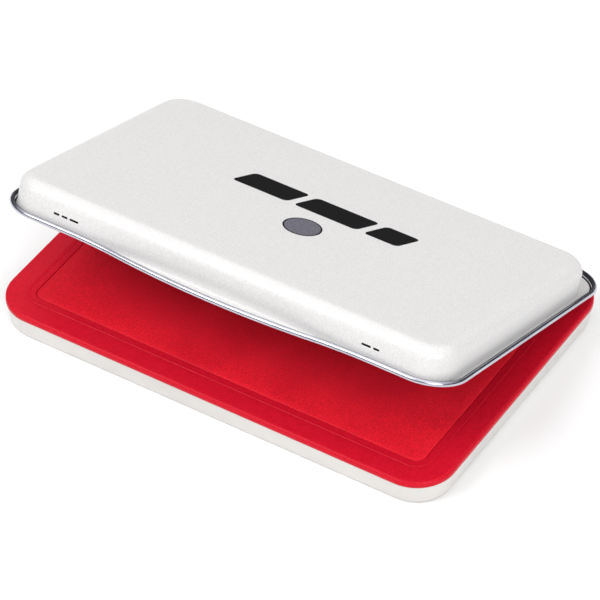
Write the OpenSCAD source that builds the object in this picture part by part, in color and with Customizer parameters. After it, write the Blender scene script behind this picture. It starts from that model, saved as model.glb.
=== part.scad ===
// Office ink pad: a white plastic tray, a red frame holding an inked cloth pad,
// and a hinged tinplate lid. Millimetres, +Z up, +X to the right, -Y to the front.
// The origin is the centre of the face that the tray stands on.

/* [Case] */
// Width of the case, left to right
case_w = 120.6; // [112:0.1:130]
// Depth of the case, front to back
case_d = 81.7; // [76:0.1:90]
// Plan radius of the case's corners
case_r = 9.9; // [9.6:0.1:11]

/* [Base tray] */
// Height of the white tray
tray_h = 5.8; // [5.4:0.1:7]
// Thickness of the tray's wall at its top edge
tray_wall = 1.6; // [1.4:0.1:1.8]
// Thickness of the tray's floor
tray_floor = 1.2; // [0.9:0.1:1.4]
// How far the tray's side leans in from its top to its foot
tray_draft = 0.9; // [0.4:0.1:1.1]
// Radius of the edge round the tray's foot
foot_r = 1.0; // [0.6:0.1:1.2]

/* [Pad frame] */
// Height of the red frame above the tray
band_h = 1.53; // [1.3:0.01:1.8]
// Radius of the frame's outer top edge
band_edge_r = 0.75; // [0.4:0.05:0.9]
// Width of the frame's flat top, out to in
band_w = 5.6; // [5.2:0.1:5.8]
// Width from the case's side to the edge of the inked face
well_inset = 7.33; // [7:0.01:7.5]
// Drop of the bevel between the flat top and the inked face
bevel_drop = 0.25; // [0.2:0.05:0.6]
// Thickness of the frame's moulded walls
frame_wall = 1.1; // [0.9:0.05:1.2]

/* [Pad] */
// Gap between the pad and its well, on each side
pad_gap = 0.2; // [0.15:0.05:0.4]
// Thickness of the inked cloth
cloth_t = 0.45; // [0.3:0.05:0.6]
// Radius of the pad's top edge
pad_edge_r = 1.2; // [1:0.1:1.5]
// Thickness of the board under the felt
board_t = 0.8; // [0.6:0.1:1]

/* [Lid] */
// Angle that the lid stands open at rest
lid_angle = 19.2; // [10:0.1:40]
// Width over the lid's rolled rim
rim_w = 121.2; // [112.6:0.1:130.6]
// Depth over the lid's rolled rim, without the finger lip
rim_d = 81.9; // [76.2:0.1:90.2]
// Plan radius of the rim's corners
rim_r = 10; // [9.6:0.1:11]
// Radius of the rolled rim
bead_r = 0.65; // [0.6:0.01:0.7]
// Thickness of the tinplate
tin_t = 0.3; // [0.25:0.01:0.3]
// Height of the lid over its rim
lid_h = 8.45; // [7.5:0.05:8.6]
// Plan radius of the lid body's corners
body_r = 7.4; // [7:0.1:8]
// Radius of the lid's top edge
lid_edge_r = 3.1; // [2:0.1:3.5]
// Width of the flange on each side of the body
flange_side = 2.4; // [2:0.1:2.6]
// Width of the flange in front of the body
flange_front = 1.4; // [1.35:0.05:1.5]
// Width of the flange behind the body
flange_rear = 7.2; // [6:0.1:8]

/* [Finger lip] */
// How far the lip stands out of the front rim
lip_out = 3.0; // [2:0.1:4]
// Half of the lip's whole width
lip_half = 41; // [36:1:44]
// Half of the width over which the lip is rounded outwards
lip_crown = 25; // [20:1:30]

/* [Hinge] */
// Distance of each hinge from the middle
hinge_x = 30; // [24:1:36]
// Width of each moulded hinge lug
lug_w = 6; // [5:0.5:8]
// Radius of the lug round the pin
lug_r = 1.3; // [1.2:0.05:1.4]
// Radius of the hinge pin
pin_r = 0.4; // [0.36:0.01:0.4]
// Length of the hinge pin
pin_len = 15; // [14:1:18]

/* [Hidden] */
$fn = 96;

white_plastic = [0.93, 0.92, 0.90];
red_plastic = [0.82, 0.07, 0.14];
red_ink = [0.78, 0.06, 0.13];
card_brown = [0.62, 0.52, 0.38];
felt_red = [0.62, 0.05, 0.10];
white_enamel = [0.92, 0.92, 0.91];
bare_tin = [0.72, 0.72, 0.74];

band_top = tray_h + band_h;
lug_gap = 0.3;          // between a lug and what moves past it
pin_play = 0.05;        // between a pin and the lug's bore
curl_play = 0.03;       // between a pin and the rolled rim that holds it
rim_lift = 0.1;         // between the shut lid's rim and the frame
bead_gap = 0.02;        // between the rolled rim and the flange's edge
rim_joint = 0.01;       // between two stretches of the rolled rim
hinge_y = case_d / 2 - 0.25;
hinge_z = band_top + rim_lift + bead_r;

rib_in = 1.9;           // locating rib under the frame, from the case's side
rib_w = 0.9;
rib_drop = 1.2;
band_under = 0.2;       // underside of the band above the tray's top
groove_w = 0.5;         // shallow groove just outside the frame's inner edge
groove_d = 0.1;
edge_w = 0.35;          // narrow land between the groove and the bevel

well_w = case_w - 2 * well_inset;
well_d = case_d - 2 * well_inset;
well_r = case_r - well_inset;
pad_w = well_w - 2 * pad_gap;
pad_d = well_d - 2 * pad_gap;
pad_r = well_r - pad_gap;
well_floor = tray_floor + 1;
board_top = well_floor + board_t;
pad_top = band_top;
felt_gap = 0.03;        // between the felt and the cloth round it

body_w = rim_w - 2 * flange_side;
body_d = rim_d - flange_front - flange_rear;
rim_mid_y = bead_r - rim_d / 2;
body_mid_y = bead_r - flange_rear - body_d / 2;
flange_in = bead_r + sqrt(pow(bead_r, 2) - pow(bead_r - tin_t, 2)) + bead_gap;

// The lip is one wide outward arc. On each side a short straight and a small arc
// blend it into the straight rim.
lip_straight = 2;
lip_turn = 2 * atan(lip_out / (lip_half + lip_straight));
lip_crown_r = lip_crown / sin(lip_turn);
lip_blend_r = (lip_half - lip_straight * cos(lip_turn)) / sin(lip_turn) - lip_crown_r;
lip_foot = lip_half - lip_blend_r * sin(lip_turn);
front_y = 2 * bead_r - rim_d;
notch_half = lug_w / 2 + lug_gap;

// Sweeps a section round a rounded rectangle. The section's x is the distance
// outwards from the centre of a corner, and its y is the height.
module sweep_round(w, d, r) {
    for (quarter = [0:3]) corner_place(quarter, w, d, r) rotate_extrude(angle = 90) children();
    for (side = [0, 1]) rotate([0, 0, 180 * side]) {
        translate([w / 2 - r, 0, 0]) run_of(d - 2 * r) children();
        rotate([0, 0, 90]) translate([d / 2 - r, 0, 0]) run_of(w - 2 * r) children();
    }
}

// Moves a piece made for the corner's own centre to one of the four corners.
module corner_place(quarter, w, d, r) {
    x_sign = (quarter == 0 || quarter == 3) ? 1 : -1;
    y_sign = quarter < 2 ? 1 : -1;
    translate([x_sign * (w / 2 - r), y_sign * (d / 2 - r), 0]) rotate([0, 0, 90 * quarter])
        children();
}

// A straight run of a section, centred along Y.
module run_of(length) {
    rotate([90, 0, 0]) linear_extrude(length, center = true) children();
}

// A flat plate with round corners.
module round_plate(w, d, r, t) {
    linear_extrude(t) round_rect(w, d, r);
}

module round_rect(w, d, r) {
    square([w - 2 * r, d], center = true);
    square([w, d - 2 * r], center = true);
    for (x = [-1, 1], y = [-1, 1]) translate([x * (w / 2 - r), y * (d / 2 - r)]) circle(r);
}

// Fills the middle of a swept shape between two heights.
module middle_block(w, d, r, z, t) {
    translate([r - w / 2, r - d / 2, z]) cube([w - 2 * r, d - 2 * r, t]);
}

// A section of width x and height h whose outer top edge is rounded.
module rounded_step(x, h, r) {
    square([x, h - r]);
    square([x - r, h]);
    translate([x - r, h - r]) circle(r);
}

// A block with round corners and a round top edge.
module pillow(w, d, r, h, edge) {
    sweep_round(w, d, r) rounded_step(r, h, edge);
    middle_block(w, d, r, 0, h);
}

// Base tray: an open plastic tray with two hinge lugs on its rear wall.
module tray_section() {
    foot_x = case_r - tray_draft;
    inner_x = case_r - tray_wall - tray_draft;
    polygon([[0, 0], [foot_x - foot_r, 0], [foot_x, foot_r], [case_r, tray_h],
             [case_r - tray_wall, tray_h], [inner_x, tray_floor], [0, tray_floor]]);
    translate([foot_x - foot_r, foot_r]) circle(foot_r);
}

// A lug's outline: a ring round the pin on a gusset that runs down the tray's wall.
module lug_outline() {
    wall_y = case_d / 2;
    difference() {
        union() {
            translate([hinge_y, hinge_z]) circle(lug_r);
            polygon([[hinge_y - lug_r, hinge_z], [hinge_y - lug_r, tray_h - 0.9],
                     [wall_y - 1, tray_h / 2], [wall_y - 0.6, tray_h / 2],
                     [hinge_y + lug_r, tray_h + 0.4], [hinge_y + lug_r, hinge_z]]);
        }
        translate([hinge_y, hinge_z]) circle(pin_r + pin_play);
    }
}

module base_tray() {
    color(white_plastic) {
        sweep_round(case_w, case_d, case_r) tray_section();
        middle_block(case_w, case_d, case_r, 0, tray_floor);
        for (side = [-1, 1]) translate([side * hinge_x - lug_w / 2, 0, 0])
            rotate([90, 0, 90]) linear_extrude(lug_w) lug_outline();
    }
}

// Pad frame: the red moulding whose band shows round the pad and whose well holds it.
module frame_section() {
    edge_x = case_r - band_w;
    well_x = case_r - well_inset;
    rib_x = case_r - rib_in;
    polygon([[case_r, tray_h], [case_r, band_top - band_edge_r], [case_r - band_edge_r, band_top],
             [edge_x + edge_w / 2 + groove_w, band_top],
             [edge_x + (edge_w + groove_w) / 2, band_top - groove_d],
             [edge_x + edge_w / 2, band_top], [edge_x - edge_w / 2, band_top],
             [well_x, band_top - bevel_drop], [well_x, well_floor], [0, well_floor],
             [0, tray_floor], [well_x + frame_wall, tray_floor],
             [well_x + frame_wall, tray_h + band_under], [rib_x - rib_w, tray_h + band_under],
             [rib_x - rib_w, tray_h - rib_drop], [rib_x, tray_h - rib_drop], [rib_x, tray_h]]);
    translate([case_r - band_edge_r, band_top - band_edge_r]) circle(band_edge_r);
}

module pad_frame() {
    slot_y = hinge_y - lug_r - lug_gap;
    color(red_plastic) difference() {
        union() {
            sweep_round(case_w, case_d, case_r) frame_section();
            middle_block(case_w, case_d, case_r, tray_floor, well_floor - tray_floor);
        }
        for (side = [-1, 1]) translate([side * hinge_x - notch_half, slot_y, tray_h - 0.1])
            cube([2 * notch_half, case_d / 2 - slot_y + 1, band_h + 1]);
    }
}

// Backing board: the stiff board under the felt.
module backing_board() {
    color(card_brown) translate([0, 0, well_floor]) round_plate(pad_w, pad_d, pad_r, board_t);
}

// Ink felt: the reservoir that feeds the cloth.
module ink_felt() {
    wrap = cloth_t + felt_gap;
    color(felt_red) translate([0, 0, board_top])
        pillow(pad_w - 2 * wrap, pad_d - 2 * wrap, pad_r - wrap,
               pad_top - board_top - wrap, pad_edge_r - wrap);
}

// Pad cloth: the inked fabric drawn over the felt and down its sides.
module pad_cloth() {
    color(red_ink) translate([0, 0, board_top]) difference() {
        pillow(pad_w, pad_d, pad_r, pad_top - board_top, pad_edge_r);
        pillow(pad_w - 2 * cloth_t, pad_d - 2 * cloth_t, pad_r - cloth_t,
               pad_top - board_top - cloth_t, pad_edge_r - cloth_t);
    }
}

// Puts a piece drawn on the shut lid, with the hinge's axis at y = 0 and the rim's
// underside at z = 0, where the open lid stands.
module lid_place() {
    translate([0, hinge_y, hinge_z]) rotate([-lid_angle, 0, 0]) translate([0, 0, -bead_r])
        children();
}

// Depth of the lip in front of the straight rim at a distance x from the middle.
function lip_at(x) =
    abs(x) > lip_foot ? lip_blend_r - sqrt(pow(lip_blend_r, 2) - pow(lip_half - abs(x), 2))
    : abs(x) > lip_crown ? lip_blend_r * (1 - cos(lip_turn)) + (lip_foot - abs(x)) * tan(lip_turn)
    : lip_out - lip_crown_r + sqrt(pow(lip_crown_r, 2) - pow(x, 2));

module flange_outline() {
    edge_y = front_y - bead_r + flange_in;
    difference() {
        union() {
            translate([0, rim_mid_y])
                round_rect(rim_w - 2 * flange_in, rim_d - 2 * flange_in, rim_r - flange_in);
            polygon(concat([[-lip_half, edge_y + 1]],
                           [for (x = [-lip_half:2:lip_half]) [x, edge_y - lip_at(x)]],
                           [[lip_half, edge_y + 1]]));
        }
        translate([0, body_mid_y])
            round_rect(body_w - 2 * tin_t, body_d - 2 * tin_t, body_r - tin_t);
        for (side = [-1, 1]) translate([side * hinge_x - notch_half, -lug_r - 2 * lug_gap])
            square([2 * notch_half, 2 * lug_r + 2]);
    }
}

// Lid shell: the drawn tinplate cover, enamelled white outside, with its flange.
module lid_shell() {
    color(white_enamel) lid_place() {
        translate([0, body_mid_y, 0]) {
            sweep_round(body_w, body_d, body_r) difference() {
                rounded_step(body_r, lid_h, lid_edge_r);
                rounded_step(body_r - tin_t, lid_h - tin_t, lid_edge_r - tin_t);
            }
            middle_block(body_w, body_d, body_r, lid_h - tin_t, tin_t);
        }
        linear_extrude(tin_t) flange_outline();
    }
}

// The rolled rim's section: a curl of bare tinplate, hollow along its middle.
module curl(at = 0) {
    translate([at, bead_r]) difference() {
        circle(bead_r, $fn = 24);
        circle(pin_r + curl_play, $fn = 24);
    }
}

// Lid rolled rim: the curl round the lid's edge, cut away where the hinge lugs stand.
module lid_rolled_rim() {
    straight_x = rim_w / 2 - rim_r;
    rear_len = straight_x - hinge_x - notch_half;
    color(bare_tin) lid_place() {
        translate([0, rim_mid_y, 0]) {
            for (quarter = [0:3]) corner_place(quarter, rim_w, rim_d, rim_r)
                rotate_extrude(angle = 90, $fn = 72) curl(rim_r - bead_r);
            for (side = [-1, 1])
                straight_rim(side * (rim_w / 2 - bead_r), 0, 0, rim_d - 2 * rim_r);
        }
        straight_rim(0, 0, 90, 2 * (hinge_x - notch_half));
        for (side = [-1, 1]) {
            straight_rim(side * (straight_x - rear_len / 2), 0, 90, rear_len);
            straight_rim(side * (straight_x + lip_half) / 2, front_y, 90, straight_x - lip_half);
            straight_rim(side * (lip_crown + lip_foot) / 2,
                         front_y - lip_at((lip_crown + lip_foot) / 2),
                         90 + side * lip_turn, lip_straight);
        }
        curved_rim(0, front_y - lip_out + lip_crown_r, lip_crown_r, 270 - lip_turn, 2 * lip_turn);
        curved_rim(lip_half, front_y - lip_blend_r, lip_blend_r, 90, lip_turn);
        curved_rim(-lip_half, front_y - lip_blend_r, lip_blend_r, 90 - lip_turn, lip_turn);
    }
}

// The rim's stretches lie end to end, and each straight one stops short of its neighbours
// by a hair.
module straight_rim(x, y, turn, length) {
    translate([x, y, 0]) rotate([0, 0, turn]) run_of(length - 2 * rim_joint) curl();
}

module curved_rim(x, y, radius, from, turn) {
    translate([x, y, 0]) rotate([0, 0, from]) rotate_extrude(angle = turn, $fn = 360)
        curl(radius);
}

// Hinge pins: short steel wires held in the rolled rim, running in the lugs.
module hinge_pin(side) {
    color(bare_tin) translate([side * hinge_x - pin_len / 2, hinge_y, hinge_z])
        rotate([0, 90, 0]) cylinder(r = pin_r, h = pin_len);
}

module hinge_pin_left() {
    hinge_pin(-1);
}

module hinge_pin_right() {
    hinge_pin(1);
}

base_tray();
pad_frame();
backing_board();
ink_felt();
pad_cloth();
lid_shell();
lid_rolled_rim();
hinge_pin_left();
hinge_pin_right();
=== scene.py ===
import math

import bmesh
import bpy
from mathutils import Matrix, Vector


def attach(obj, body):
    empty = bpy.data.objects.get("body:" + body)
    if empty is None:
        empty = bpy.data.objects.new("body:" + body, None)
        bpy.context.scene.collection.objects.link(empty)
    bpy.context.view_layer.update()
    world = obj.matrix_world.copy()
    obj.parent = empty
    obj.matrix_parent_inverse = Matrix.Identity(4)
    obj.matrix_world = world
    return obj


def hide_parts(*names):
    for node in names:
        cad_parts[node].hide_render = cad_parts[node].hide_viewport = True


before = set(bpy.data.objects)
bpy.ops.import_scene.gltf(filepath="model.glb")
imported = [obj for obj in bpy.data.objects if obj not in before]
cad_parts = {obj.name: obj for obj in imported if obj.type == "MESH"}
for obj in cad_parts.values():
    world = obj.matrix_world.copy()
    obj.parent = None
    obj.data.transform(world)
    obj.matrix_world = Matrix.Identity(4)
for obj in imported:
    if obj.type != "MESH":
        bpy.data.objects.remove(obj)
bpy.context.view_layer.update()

# ---------------------------------------------------------------- sizes, in millimetres

MM = 0.001
SAME = 1e-6  # points closer than this are one point

# The tray and the red frame. An inset is measured in from the case's outer edge.
CASE_W, CASE_D, CASE_R = 120.6, 81.7, 9.9
TRAY_H = 5.8
BAND_TOP = 7.33
BAND_EDGE_R = 0.75
WELL_INSET = 7.33
CAP_INSET = 34

# The pad: the gap round it, and how its face falls at the edge and swells in the middle.
PAD_GAP = 0.14
PAD_EDGE, PAD_FALL, PAD_CROWN = 2.2, 0.30, 0.22
BOARD_TOP = 3.0

# The lid. Its own frame has the rear curl's middle at y = 0 and the flange's underside at z = 0.
LID_ANGLE = math.radians(19.2)
RIM_W, RIM_D, RIM_R = 121.2, 81.9, 10.0
BEAD_R = 0.65
TIN = 0.3
LID_H = 8.45
BODY_R = 7.4
EDGE_R = 3.1
FLANGE_SIDE, FLANGE_FRONT, FLANGE_REAR = 2.4, 1.4, 7.2
BODY_W = RIM_W - 2 * FLANGE_SIDE
BODY_D = RIM_D - FLANGE_FRONT - FLANGE_REAR
RIM_MID = BEAD_R - RIM_D / 2
BODY_MID = BEAD_R - FLANGE_REAR - BODY_D / 2
# Rings of points on the lid's flat top, by inset, and on its upright wall, by height.
TOP_INSETS = (34, 30, 24, 18, 12, 8, 5.5, 4.2)
WALL_HEIGHTS = (4.2, 3.0, 2.0)
ROOT_R = 0.35

# The flange ends just short of the curl. The enamel ends before it, at the crease.
CURL_GAP = 0.02
FLANGE_IN = BEAD_R + math.sqrt(BEAD_R**2 - (BEAD_R - TIN) ** 2) + CURL_GAP
CREASE_W, CREASE_DROP, CREASE_LEAST, CREASE_STEP = 0.82, 0.08, 0.02, 0.001

# The curl's section in degrees: 0 is straight out, 90 is up. Its outer face gets painted shade from
# the third angle on.
CURL_START, CURL_END, CURL_SHADE_FROM = -140, 150, 103
CURL_SHEET = 0.24
CURL_STEPS_OUT, CURL_STEPS_IN = 28, 20
REAR_STEPS = 24

# The finger lip: a round crown, a straight slope and a hollow blend on each side.
LIP_OUT, LIP_HALF, LIP_CROWN, LIP_STRAIGHT = 3.0, 41.0, 25.0, 2.0
LIP_TURN = 2 * math.atan(LIP_OUT / (LIP_HALF + LIP_STRAIGHT))
CROWN_R = LIP_CROWN / math.sin(LIP_TURN)
BLEND_R = (LIP_HALF - LIP_STRAIGHT * math.cos(LIP_TURN)) / math.sin(LIP_TURN) - CROWN_R
LIP_FOOT = LIP_HALF - BLEND_R * math.sin(LIP_TURN)

# The hinge. The notches that clear its lugs are cut past each piece's rear edge.
HINGE_IN, LID_CLEAR = 0.25, 0.1
HINGE_Y = CASE_D / 2 - HINGE_IN
HINGE_Z = BAND_TOP + LID_CLEAR + BEAD_R
HINGE_X, NOTCH_HALF, LUG_R, LUG_GAP = 30.0, 3.3, 1.3, 0.3
LID_NOTCH_Y, LID_NOTCH_Z = (-LUG_R - 2 * LUG_GAP, 2), (-1, 2)
BAND_NOTCH_Y, BAND_NOTCH_Z = (HINGE_Y - LUG_R - LUG_GAP, CASE_D / 2 + 1), (5.7, 8.5)

LID_PLACE = (
    Matrix.Translation((0, HINGE_Y * MM, HINGE_Z * MM))
    @ Matrix.Rotation(-LID_ANGLE, 4, "X")
    @ Matrix.Translation((0, 0, -BEAD_R * MM))
)

# The printed marks: three bars and a disc on the lid's top, short dashes on its front wall.
BARS = ((-13.5, 15.0), (4.5, 17.0), (19.5, 9.0))  # each bar's middle and length
BAR_Y, BAR_H, BAR_CORNER, BAR_SLANT = -36.0, 7.6, 1.2, 0.3
DISC_X, DISC_Y, DISC_D, DISC_EDGE_D = 2.6, -48.6, 8.6, 9.4
DASHES = ((-45.0, (1.6, 1.6, 2.4)), (37.5, (2.4, 1.6)))  # a row's left end and its lengths
DASH_Z, DASH_H, DASH_CORNER, DASH_GAP = 3.5, 0.5, 0.24, 0.6
INK_FOOT, INK_H, DISC_EDGE_H, DISC_H = -0.01, 0.02, 0.015, 0.03

# How far out of line two faces may be before the edge between them is shaded as sharp.
SHARP_DEGREES = 38
BAND_SHARP_DEGREES = 30


# ---------------------------------------------------------------- shader helpers

NOISE_LOW, NOISE_HIGH = 0.3, 0.7  # where most of a noise texture's values lie


def new_material(name, color, roughness, **sockets):
    """A Principled material with its constants set on the shader's own sockets."""
    mat = bpy.data.materials.new(name)
    mat.use_nodes = True
    shader = mat.node_tree.nodes["Principled BSDF"]
    shader.inputs["Base Color"].default_value = (*color, 1)
    shader.inputs["Roughness"].default_value = roughness
    for key, value in sockets.items():
        shader.inputs[key.replace("_", " ")].default_value = value
    return mat


def fill_ramp(ramp, stops):
    """Gives a colour ramp its stops, each a position and a colour."""
    while len(ramp.elements) < len(stops):
        ramp.elements.new(0.5)
    for element, (at, color) in zip(ramp.elements, stops):
        element.position = at
        element.color = (*color, 1)


class Nodes:
    """Short calls for building one material's node tree."""

    def __init__(self, mat):
        self.tree = mat.node_tree
        self.shader = self.tree.nodes["Principled BSDF"]
        self.coords = self.add("ShaderNodeTexCoord").outputs["Object"]

    def add(self, kind, **settings):
        node = self.tree.nodes.new(kind)
        for key, value in settings.items():
            setattr(node, key, value)
        return node

    def link(self, a, b):
        self.tree.links.new(a, b)

    def noise(self, scale, detail=2.0, rough=0.5, stretch=None):
        """A noise value. It is drawn out along the axes that `stretch` scales down."""
        node = self.add("ShaderNodeTexNoise")
        node.inputs["Scale"].default_value = scale
        node.inputs["Detail"].default_value = detail
        node.inputs["Roughness"].default_value = rough
        place = self.coords
        if stretch is not None:
            mapping = self.add("ShaderNodeMapping")
            mapping.inputs["Scale"].default_value = stretch
            self.link(self.coords, mapping.inputs["Vector"])
            place = mapping.outputs["Vector"]
        self.link(place, node.inputs["Vector"])
        return node.outputs["Fac"]

    def threads(self, direction):
        """Bands across one axis, a little uneven, as the threads of a weave."""
        node = self.add("ShaderNodeTexWave", wave_type="BANDS", bands_direction=direction)
        node.inputs["Scale"].default_value = 820
        node.inputs["Distortion"].default_value = 1.2
        node.inputs["Detail"].default_value = 1.0
        node.inputs["Detail Scale"].default_value = 2.0
        self.link(self.coords, node.inputs["Vector"])
        return node.outputs["Fac"]

    def math(self, operation, a, b):
        node = self.add("ShaderNodeMath", operation=operation)
        for socket, value in zip(node.inputs, (a, b)):
            if isinstance(value, (int, float)):
                socket.default_value = value
            else:
                self.link(value, socket)
        return node.outputs["Value"]

    def tint(self, value, *stops):
        """Colours the shader by a ramp over `value`."""
        node = self.add("ShaderNodeValToRGB")
        fill_ramp(node.color_ramp, stops)
        self.link(value, node.inputs["Fac"])
        self.link(node.outputs["Color"], self.shader.inputs["Base Color"])

    def gloss(self, value, low, high):
        """Lets the shader's roughness go from low to high with a noise value."""
        node = self.add("ShaderNodeMapRange")
        node.inputs["From Min"].default_value = NOISE_LOW
        node.inputs["From Max"].default_value = NOISE_HIGH
        node.inputs["To Min"].default_value = low
        node.inputs["To Max"].default_value = high
        self.link(value, node.inputs["Value"])
        self.link(node.outputs["Result"], self.shader.inputs["Roughness"])

    def bump(self, height, strength, depth, under=None):
        """Bumps `depth` millimetres high on the shader, on top of an earlier bump if given."""
        node = self.add("ShaderNodeBump")
        node.inputs["Strength"].default_value = strength
        node.inputs["Distance"].default_value = depth * MM
        self.link(height, node.inputs["Height"])
        if under is not None:
            self.link(under, node.inputs["Normal"])
        self.link(node.outputs["Normal"], self.shader.inputs["Normal"])
        return node.outputs["Normal"]


# ---------------------------------------------------------------- materials


def white_enamel():
    mat = new_material("white_enamel", (0.74, 0.73, 0.72), 0.34, Specular_IOR_Level=0.3)
    n = Nodes(mat)
    n.tint(n.noise(2200, 2, 0.7), (0.35, (0.68, 0.67, 0.665)), (0.65, (0.77, 0.76, 0.755)))
    n.gloss(n.noise(90), 0.34, 0.40)
    n.bump(n.noise(2200, 1), 0.08, 0.02)
    return mat


def tinplate():
    mat = new_material("bare_tinplate", (0.60, 0.60, 0.67), 0.16, Metallic=1.0)
    n = Nodes(mat)
    streaks = n.noise(700, 3, 0.6, (0.05, 1, 1))
    n.gloss(streaks, 0.12, 0.26)
    n.tint(n.noise(160, 4), (0.3, (0.46, 0.465, 0.54)), (0.7, (0.57, 0.575, 0.65)))
    n.bump(streaks, 0.05, 0.02)
    return mat


def painted_crease_shade():
    """Painted shade: a near-black colour on the strip between the enamel's end and the curl, and on
    the curl's inner turn, where light hardly reaches.
    """
    mat = new_material("painted_crease_shade", (0.022, 0.021, 0.027), 0.5, Specular_IOR_Level=0.2)
    n = Nodes(mat)
    n.tint(n.noise(400, 3), (0.3, (0.015, 0.014, 0.019)), (0.7, (0.032, 0.030, 0.038)))
    return mat


def pin_steel():
    mat = new_material("pin_steel", (0.56, 0.56, 0.57), 0.28, Metallic=1.0)
    n = Nodes(mat)
    drawn = n.noise(1500, 3, 0.6, (0.03, 1, 1))
    n.gloss(drawn, 0.2, 0.38)
    n.bump(drawn, 0.2, 0.02)
    return mat


def tray_plastic():
    mat = new_material("tray_plastic", (0.80, 0.775, 0.745), 0.34)
    n = Nodes(mat)
    n.tint(n.noise(60, 4), (0.3, (0.70, 0.68, 0.66)), (0.7, (0.76, 0.74, 0.715)))
    n.gloss(n.noise(300, 4), 0.28, 0.42)
    n.bump(n.noise(900, 3), 0.12, 0.03)
    return mat


def frame_plastic():
    mat = new_material("frame_plastic", (0.62, 0.004, 0.018), 0.32, Specular_IOR_Level=0.12)
    n = Nodes(mat)
    n.tint(n.noise(1700, 2, 0.7), (0.35, (0.57, 0.005, 0.020)), (0.65, (0.67, 0.008, 0.026)))
    n.gloss(n.noise(70), 0.29, 0.36)
    n.bump(n.noise(1900), 0.2, 0.03)
    return mat


def inked_cloth():
    """A fine weave, soaked unevenly, with a grain that catches the ink."""
    mat = new_material("inked_cloth", (0.58, 0.008, 0.022), 0.50, Specular_IOR_Level=0.12)
    n = Nodes(mat)
    weave = n.math("MULTIPLY", n.threads("X"), n.threads("Y"))
    soak = n.noise(55, 4, 0.6)
    grain = n.noise(3200, 2, 0.6)
    tone = n.math("ADD", n.math("MULTIPLY", weave, 0.3), n.math("MULTIPLY", soak, 0.3))
    tone = n.math("ADD", tone, n.math("MULTIPLY", grain, 0.55))
    n.tint(
        tone,
        (0.41, (0.57, 0.007, 0.020)),
        (0.51, (0.77, 0.010, 0.026)),
        (0.64, (1.00, 0.020, 0.040)),
    )
    n.gloss(soak, 0.36, 0.55)
    n.bump(grain, 0.2, 0.04, under=n.bump(weave, 0.25, 0.06))
    return mat


def soft_fibre(name, dark, light):
    mat = new_material(name, light, 0.9, Sheen_Weight=0.3)
    n = Nodes(mat)
    fibre = n.noise(1500, 6, 0.7)
    n.tint(fibre, (0.3, dark), (0.7, light))
    n.bump(fibre, 0.6, 0.2)
    return mat


def printing_ink(name, color):
    mat = new_material(name, color, 0.45, Specular_IOR_Level=0.06)
    n = Nodes(mat)
    n.gloss(n.noise(70), 0.42, 0.50)
    dark = tuple(0.7 * c for c in color)
    n.tint(n.noise(2200, 2, 0.7), (0.35, dark), (0.65, color))
    return mat


ENAMEL = white_enamel()
TINPLATE = tinplate()
# Painted shade, near black, for the crease strip and the curl's inner turn.
PAINTED_SHADE = painted_crease_shade()
BLACK_INK = printing_ink("print_black", (0.004, 0.004, 0.005))
GREY_INK = printing_ink("print_grey", (0.17, 0.165, 0.20))
CLOTH = inked_cloth()
RED = frame_plastic()
PIN_STEEL = pin_steel()

for node_name, material in (
    ("base_tray", tray_plastic()),
    ("ink_felt", soft_fibre("felt", (0.28, 0.005, 0.014), (0.48, 0.012, 0.026))),
    ("backing_board", soft_fibre("board", (0.30, 0.22, 0.13), (0.42, 0.33, 0.21))),
    ("hinge_pin_left", PIN_STEEL),
    ("hinge_pin_right", PIN_STEEL),
):
    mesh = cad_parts[node_name].data
    mesh.materials.clear()
    mesh.materials.append(material)


# ---------------------------------------------------------------- outlines

LEAST_R, LEAST_BODY_R = 0.3, 0.4  # a corner's radius where the inset has used it up


def loop_points(w, d, r, mid_y=0.0, long_steps=64, short_steps=24, arc_steps=14):
    """A rounded rectangle's points, counter-clockwise from the front end of its right side."""
    x, y = w / 2 - r, d / 2 - r
    corners = [(x, y, 0), (-x, y, 90), (-x, -y, 180), (x, -y, 270)]
    starts = [(w / 2, -y), (x, d / 2), (-w / 2, y), (-x, -d / 2)]
    points = []
    for (cx, cy, turn), (sx, sy), steps in zip(
        corners, starts, (short_steps, long_steps, short_steps, long_steps)
    ):
        ex = cx + r * math.cos(math.radians(turn))
        ey = cy + r * math.sin(math.radians(turn))
        for i in range(steps):
            t = i / steps
            points.append((sx + (ex - sx) * t, sy + (ey - sy) * t + mid_y))
        for i in range(arc_steps):
            a = math.radians(turn + 90 * i / arc_steps)
            points.append((cx + r * math.cos(a), cy + r * math.sin(a) + mid_y))
    return points


def quarter_turn(steps):
    """Angles from 0 to 90 degrees, in radians."""
    return [math.radians(90 * i / steps) for i in range(steps + 1)]


def case_loop(inset):
    return loop_points(CASE_W - 2 * inset, CASE_D - 2 * inset, max(CASE_R - inset, LEAST_R))


def body_loop(inset):
    return loop_points(
        BODY_W - 2 * inset, BODY_D - 2 * inset, max(BODY_R - inset, LEAST_BODY_R), BODY_MID
    )


def lip_at(x):
    """How far the finger lip stands out of the straight rim at x."""
    x = abs(x)
    if x >= LIP_HALF:
        return 0.0
    if x > LIP_FOOT:
        return BLEND_R - math.sqrt(BLEND_R**2 - (LIP_HALF - x) ** 2)
    if x > LIP_CROWN:
        return BLEND_R * (1 - math.cos(LIP_TURN)) + (LIP_FOOT - x) * math.tan(LIP_TURN)
    return LIP_OUT - CROWN_R + math.sqrt(CROWN_R**2 - x**2)


def rim_loop(inset):
    """A line round the rim, in from its outer edge, with the finger lip."""
    points = loop_points(RIM_W - 2 * inset, RIM_D - 2 * inset, RIM_R - inset, RIM_MID)
    return [(x, y - lip_at(x)) if y < RIM_MID else (x, y) for x, y in points]


def between(inner, outer, reach):
    """Points on the way from one ring to another, at most `reach` out."""
    points = []
    for (ax, ay), (bx, by) in zip(inner, outer):
        span = math.hypot(bx - ax, by - ay)
        t = min(reach / span, 1.0) if span > SAME else 1.0
        points.append((ax + (bx - ax) * t, ay + (by - ay) * t))
    return points


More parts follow.
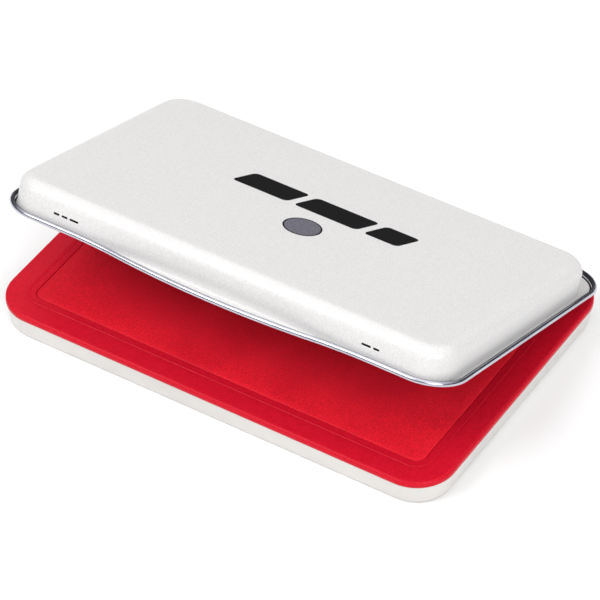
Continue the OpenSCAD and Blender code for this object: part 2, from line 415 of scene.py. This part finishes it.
def crease_line(edge, wall, root):
    """Where the enamel stops on the flange, short of the curl and of the wall's root."""
    line = []
    for (ax, ay), (bx, by) in zip(edge, wall):
        span = math.hypot(bx - ax, by - ay)
        t = min(CREASE_W, max(span - root, CREASE_LEAST)) / span
        line.append((ax + (bx - ax) * t, ay + (by - ay) * t))
    return line


# ---------------------------------------------------------------- mesh helpers


def add_points(bm, points):
    return [bm.verts.new((x * MM, y * MM, z * MM)) for x, y, z in points]


def add_ring(bm, outline, z):
    return add_points(bm, [(x, y, z) for x, y in outline])


def skin(bm, rings, slots=0):
    """Faces between each ring and the next, facing outwards for rings listed top to bottom.

    `slots` is the material slot, or a list with one for each point of a ring.
    """
    for upper, lower in zip(rings, rings[1:]):
        count = len(upper)
        for i in range(count):
            j = (i + 1) % count
            face = bm.faces.new((upper[j], upper[i], lower[i], lower[j]))
            face.material_index = slots[i] if isinstance(slots, list) else slots


def solid(bm, rings, slots=0):
    """A skin with a cap on its first ring and on its last."""
    bm.faces.new(rings[0])
    skin(bm, rings, slots)
    bm.faces.new(list(reversed(rings[-1])))


def mark_edges(bm, sharp_degrees):
    for face in bm.faces:
        face.smooth = True
    limit = math.radians(sharp_degrees)
    for edge in bm.edges:
        if len(edge.link_faces) == 2:
            edge.smooth = edge.calc_face_angle(0) < limit


def to_piece(bm, name, materials, place=None):
    if place is not None:
        bm.transform(place)
    bmesh.ops.recalc_face_normals(bm, faces=bm.faces)
    mark_edges(bm, SHARP_DEGREES)
    mesh = bpy.data.meshes.new(name)
    bm.to_mesh(mesh)
    bm.free()
    for material in materials:
        mesh.materials.append(material)
    piece = bpy.data.objects.new(name, mesh)
    bpy.context.collection.objects.link(piece)
    return piece


def cut_notches(piece, span_y, span_z, sharp_degrees=SHARP_DEGREES):
    """Takes a box round each hinge lug out of a piece, between two y and two z."""
    bm = bmesh.new()
    for side in (-1, 1):
        low = (side * HINGE_X - NOTCH_HALF, span_y[0], span_z[0])
        high = (side * HINGE_X + NOTCH_HALF, span_y[1], span_z[1])
        box = bmesh.ops.create_cube(bm, size=1)["verts"]
        size = [(b - a) * MM for a, b in zip(low, high)]
        middle = [(a + b) / 2 * MM for a, b in zip(low, high)]
        bmesh.ops.scale(bm, vec=size, verts=box)
        bmesh.ops.translate(bm, vec=middle, verts=box)
    cutter = to_piece(bm, "cutter", [])
    boolean = piece.modifiers.new("cut", "BOOLEAN")
    boolean.operation = "DIFFERENCE"
    boolean.solver = "EXACT"
    boolean.object = cutter
    graph = bpy.context.evaluated_depsgraph_get()
    uncut = piece.data
    piece.data = bpy.data.meshes.new_from_object(piece.evaluated_get(graph))
    piece.modifiers.clear()
    bpy.data.meshes.remove(uncut)
    bpy.data.objects.remove(cutter)
    bm = bmesh.new()
    bm.from_mesh(piece.data)
    mark_edges(bm, sharp_degrees)
    bm.to_mesh(piece.data)
    bm.free()


# ---------------------------------------------------------------- the lid


def shell_side(bm, offset, slot):
    """One face of the lid's sheet: `offset` is 0 outside and the sheet's thickness inside."""
    top = LID_H - offset
    edge = EDGE_R - offset
    floor = TIN - offset
    root = ROOT_R + offset
    wall = body_loop(offset)
    flange_end = rim_loop(FLANGE_IN)
    crease = crease_line(flange_end, wall, root)

    rings = [add_ring(bm, body_loop(inset + offset), top) for inset in TOP_INSETS]
    for a in quarter_turn(10):
        inset = offset + edge * (1 - math.sin(a))
        rings.append(add_ring(bm, body_loop(inset), top - edge * (1 - math.cos(a))))
    for height in WALL_HEIGHTS:
        rings.append(add_ring(bm, wall, height))
    for a in quarter_turn(8):
        fillet = between(wall, crease, root * (1 - math.cos(a)))
        rings.append(add_ring(bm, fillet, floor + root * (1 - math.sin(a))))
    rings.append(add_ring(bm, crease, floor))
    cap = bm.faces.new(rings[0])
    cap.material_index = slot
    skin(bm, rings, slot)

    # On the outside, the strip from the crease to the curl takes slot 2, the painted shade; inside
    # it stays bare tin.
    low = floor - (CREASE_DROP if offset == 0 else 0)
    crease_strip = [
        rings[-1],
        add_ring(bm, crease, low - CREASE_STEP),
        add_ring(bm, flange_end, low),
    ]
    skin(bm, crease_strip, 2 if offset == 0 else slot)
    return crease_strip[-1]


def lid_cover():
    """The drawn tin lid with its flange: enamel outside, bare tin inside, painted shade at the
    crease.
    """
    bm = bmesh.new()
    outside = shell_side(bm, 0.0, 0)
    inside = shell_side(bm, TIN, 1)
    skin(bm, [outside, inside], 1)
    piece = to_piece(bm, "lid_cover", [ENAMEL, TINPLATE, PAINTED_SHADE])
    cut_notches(piece, LID_NOTCH_Y, LID_NOTCH_Z)
    piece.data.transform(LID_PLACE)
    return piece


def curl_section():
    """The rolled rim's section as inset and height: a curl that is open on its inner side."""
    section = []
    turn = CURL_END - CURL_START
    inner = BEAD_R - CURL_SHEET
    for i in range(CURL_STEPS_OUT + 1):
        a = math.radians(CURL_START + turn * i / CURL_STEPS_OUT)
        section.append((BEAD_R - BEAD_R * math.cos(a), BEAD_R + BEAD_R * math.sin(a)))
    for i in range(CURL_STEPS_IN + 1):
        a = math.radians(CURL_END - turn * i / CURL_STEPS_IN)
        section.append((BEAD_R - inner * math.cos(a), BEAD_R + inner * math.sin(a)))
    return section


def rolled_rim():
    """The curl in two runs, which leave the hinge's notches free: one round, one between."""
    section = curl_section()
    lines = [rim_loop(inset) for inset, _ in section]
    centre = rim_loop(BEAD_R)
    count = len(centre)
    rear = [i for i, (x, y) in enumerate(centre)
            if abs(y) < SAME and abs(x) < RIM_W / 2 - RIM_R]
    notch_in, notch_out = HINGE_X - NOTCH_HALF, HINGE_X + NOTCH_HALF

    def station(index):
        return [(*line[index], height) for line, (_, height) in zip(lines, section)]

    def rear_station(x):
        return [(x, BEAD_R - inset, height) for inset, height in section]

    before = max(i for i in rear if centre[i][0] > notch_out)
    after = min(i for i in rear if centre[i][0] < -notch_out)
    around = [rear_station(-notch_out)]
    around += [station(i % count) for i in range(after, before + count + 1)]
    around += [rear_station(notch_out)]
    middle = [rear_station(notch_in - 2 * notch_in * i / REAR_STEPS)
              for i in range(REAR_STEPS + 1)]

    # The outer faces from that angle to the curl's end take slot 1, the painted shade.
    shade_from = round(CURL_STEPS_OUT * (CURL_SHADE_FROM - CURL_START) / (CURL_END - CURL_START))
    slots = [1 if shade_from <= i < CURL_STEPS_OUT else 0 for i in range(len(section))]
    bm = bmesh.new()
    for stations in (around, middle):
        solid(bm, [add_points(bm, points) for points in stations], slots)
    return to_piece(bm, "lid_rim", [TINPLATE, PAINTED_SHADE], LID_PLACE)


cover = lid_cover()
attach(cover, "lid")
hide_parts("lid_shell")

rim = rolled_rim()
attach(rim, "lid")
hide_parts("lid_rolled_rim")


# ---------------------------------------------------------------- the inked pad


def inked_pad():
    """The cloth over the felt: crowned in the middle, rounded over at the edge."""
    w = CASE_W - 2 * (WELL_INSET + PAD_GAP)
    d = CASE_D - 2 * (WELL_INSET + PAD_GAP)
    r = CASE_R - WELL_INSET - PAD_GAP
    profile = [(31.5 - 1.5 * k, 0.0) for k in range(20)]
    for a in quarter_turn(12):
        profile.append((PAD_EDGE * (1 - math.sin(a)), PAD_FALL * (1 - math.cos(a))))
    profile += [(0.0, 2.4), (0.0, 3.2), (0.0, BAND_TOP - BOARD_TOP)]

    def height(x, y, drop):
        along, across = min(abs(2 * x / w), 1), min(abs(2 * y / d), 1)
        return BAND_TOP - drop + PAD_CROWN * (1 - along**4) * (1 - across**4)

    bm = bmesh.new()
    rings = []
    for inset, drop in profile:
        outline = loop_points(w - 2 * inset, d - 2 * inset, max(r - inset, LEAST_R))
        rings.append(add_points(bm, [(x, y, height(x, y, drop)) for x, y in outline]))
    solid(bm, rings)
    return to_piece(bm, "inked_pad", [CLOTH])


pad = inked_pad()
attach(pad, "base")
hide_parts("pad_cloth")


# ---------------------------------------------------------------- the red frame


def red_frame():
    """The frame. Its section, as inset and height, runs from the well's floor out and under."""
    well = [(CAP_INSET, 2.2), (7.6, 2.2), (WELL_INSET, 2.45), (WELL_INSET, 6.0),
            (WELL_INSET, 7.06), (7.27, 7.13)]
    inner_step = [(7.12, 7.16), (6.2, 7.22), (5.84, 7.25), (5.76, 7.27)]
    ridge = [(5.70, 7.30), (5.62, 7.33), (5.52, 7.33), (5.44, 7.30)]
    groove = [(5.38, 7.25), (5.32, 7.24), (5.24, 7.26), (5.08, 7.31)]
    band = [(4.95, BAND_TOP), (3.2, BAND_TOP), (1.6, BAND_TOP)]
    edge = [(BAND_EDGE_R * (1 - math.cos(a)), BAND_TOP - BAND_EDGE_R * (1 - math.sin(a)))
            for a in reversed(quarter_turn(10))]
    seam = [(0, 6.2), (0, 5.92), (0.03, 5.85), (0.1, 5.82), (1.9, TRAY_H)]
    skirt = [(1.9, 4.6), (2.8, 4.6), (2.8, 6.0)]
    underside = [(6.2, 6.0), (6.23, 5.9), (6.23, 1.35), (6.4, 1.2), (CAP_INSET, 1.2)]
    section = well + inner_step + ridge + groove + band + edge + seam + skirt + underside
    bm = bmesh.new()
    solid(bm, [add_ring(bm, case_loop(inset), z) for inset, z in section])
    piece = to_piece(bm, "red_frame", [RED])
    cut_notches(piece, BAND_NOTCH_Y, BAND_NOTCH_Z, BAND_SHARP_DEGREES)
    return piece


band = red_frame()
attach(band, "base")
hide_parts("pad_frame")


# ---------------------------------------------------------------- printed marks


def mark_outline(cx, cy, length, height, radius, slant=0.0):
    """A bar with round corners, leaning over by `slant`. A square one with full radii is a disc."""
    outline = []
    for quarter, (sx, sy) in enumerate(((1, 1), (-1, 1), (-1, -1), (1, -1))):
        for i in range(9):
            a = math.radians(90 * quarter + 90 * i / 8)
            x = sx * (length / 2 - radius) + radius * math.cos(a)
            y = sy * (height / 2 - radius) + radius * math.sin(a)
            outline.append((cx + x + slant * y, cy + y))
    return [p for p, q in zip(outline, outline[1:] + outline[:1]) if math.dist(p, q) > SAME]


def lay_mark(bm, outline, place, high=INK_H):
    """A printed layer, as thin as ink, on the plane that `place` leads to."""
    solid(bm, [[bm.verts.new(place @ Vector((x * MM, y * MM, z * MM))) for x, y in outline]
               for z in (high, INK_FOOT)])


def prints():
    top = LID_PLACE @ Matrix.Translation((0, 0, LID_H * MM))
    wall_y = BODY_MID - BODY_D / 2
    wall = (
        LID_PLACE
        @ Matrix.Translation((0, wall_y * MM, 0))
        @ Matrix.Rotation(math.pi / 2, 4, "X")
    )
    black, grey = bmesh.new(), bmesh.new()
    for cx, length in BARS:
        lay_mark(black, mark_outline(cx, BAR_Y, length, BAR_H, BAR_CORNER, BAR_SLANT), top)
    for bm, across, high in ((black, DISC_EDGE_D, DISC_EDGE_H), (grey, DISC_D, DISC_H)):
        lay_mark(bm, mark_outline(DISC_X, DISC_Y, across, across, across / 2), top, high)
    for x, lengths in DASHES:
        for length in lengths:
            dash = mark_outline(x + length / 2, DASH_Z, length, DASH_H, DASH_CORNER)
            lay_mark(black, dash, wall)
            x += length + DASH_GAP
    for bm, name, material, slot in (
        (black, "lid_print_bars", BLACK_INK, "black_print"),
        (grey, "lid_print_disc", GREY_INK, "grey_print"),
    ):
        piece = to_piece(bm, name, [material])
        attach(piece, "lid")


prints()


# ---------------------------------------------------------------- floor, light and camera

# All in metres.
FLOOR_HALF = 3.0

# Each light's place, its width and depth, and its power in watts.
LIGHTS = (
    ("key", (-0.50, -0.66, 1.08), (0.8, 0.6), 7.5),
    ("fill", (1.00, -0.62, 0.78), (0.8, 0.6), 8.5),
    ("overhead", (-0.1, 0.45, 1.2), (0.9, 0.7), 1.6),
)
LIGHT_AIM = Vector((0, 0, 0.01))

# The sky's grey by height: 0 is level or lower, and 1 is straight up.
SKY_STOPS = ((0.0, 0.06), (0.42, 0.10), (0.66, 0.65), (0.88, 1.0))
SKY_STRENGTH = 1.12

CAM_AZ, CAM_EL, CAM_ROLL = math.radians(32.27), math.radians(42.83), math.radians(-0.33)
CAM_DIST = 0.9763
CAM_TARGET = Vector((0.00049, -0.00061, 0.0058))
CAM_CLIP = (0.05, 20)
FOCAL_PIXELS, IMAGE_PIXELS, SENSOR = 4163, 600, 36.0


def floor():
    mat = new_material("studio_floor", (0.93, 0.93, 0.93), 0.9)
    n = Nodes(mat)
    n.tint(n.noise(8), (0.3, (0.925, 0.925, 0.925)), (0.7, (0.935, 0.935, 0.935)))
    bm = bmesh.new()
    bmesh.ops.create_grid(bm, x_segments=4, y_segments=4, size=FLOOR_HALF)
    piece = to_piece(bm, "studio_floor", [mat])


def sky():
    world = bpy.data.worlds.new("studio")
    bpy.context.scene.world = world
    world.use_nodes = True
    tree = world.node_tree
    back = tree.nodes["Background"]
    coords = tree.nodes.new("ShaderNodeTexCoord")
    split = tree.nodes.new("ShaderNodeSeparateXYZ")
    ramp = tree.nodes.new("ShaderNodeValToRGB")
    tree.links.new(coords.outputs["Generated"], split.inputs["Vector"])
    tree.links.new(split.outputs["Z"], ramp.inputs["Fac"])
    tree.links.new(ramp.outputs["Color"], back.inputs["Color"])
    fill_ramp(ramp.color_ramp, [(at, (grey, grey, grey)) for at, grey in SKY_STOPS])
    back.inputs["Strength"].default_value = SKY_STRENGTH


def area_light(name, place, size, power):
    lamp = bpy.data.lights.new(name, "AREA")
    lamp.shape = "RECTANGLE"
    lamp.size, lamp.size_y = size
    lamp.energy = power
    light = bpy.data.objects.new(name, lamp)
    light.location = place
    light.rotation_mode = "QUATERNION"
    light.rotation_quaternion = (LIGHT_AIM - Vector(place)).to_track_quat("-Z", "Y")
    bpy.context.collection.objects.link(light)


def camera():
    data = bpy.data.cameras.new("camera")
    data.sensor_width = SENSOR
    data.lens = FOCAL_PIXELS / IMAGE_PIXELS * SENSOR
    data.clip_start, data.clip_end = CAM_CLIP
    eye = bpy.data.objects.new("camera", data)
    flat = math.cos(CAM_EL)
    back = Vector((math.sin(CAM_AZ) * flat, -math.cos(CAM_AZ) * flat, math.sin(CAM_EL)))
    right = Vector((math.cos(CAM_AZ), math.sin(CAM_AZ), 0))
    up = back.cross(right)
    c, s = math.cos(CAM_ROLL), math.sin(CAM_ROLL)
    axes = Matrix((c * right + s * up, -s * right + c * up, back)).transposed()
    eye.matrix_world = Matrix.Translation(CAM_TARGET + CAM_DIST * back) @ axes.to_4x4()
    bpy.context.collection.objects.link(eye)
    bpy.context.scene.camera = eye


floor()
sky()
for light in LIGHTS:
    area_light(*light)
camera()
bpy.context.scene.view_settings.view_transform = "Standard"
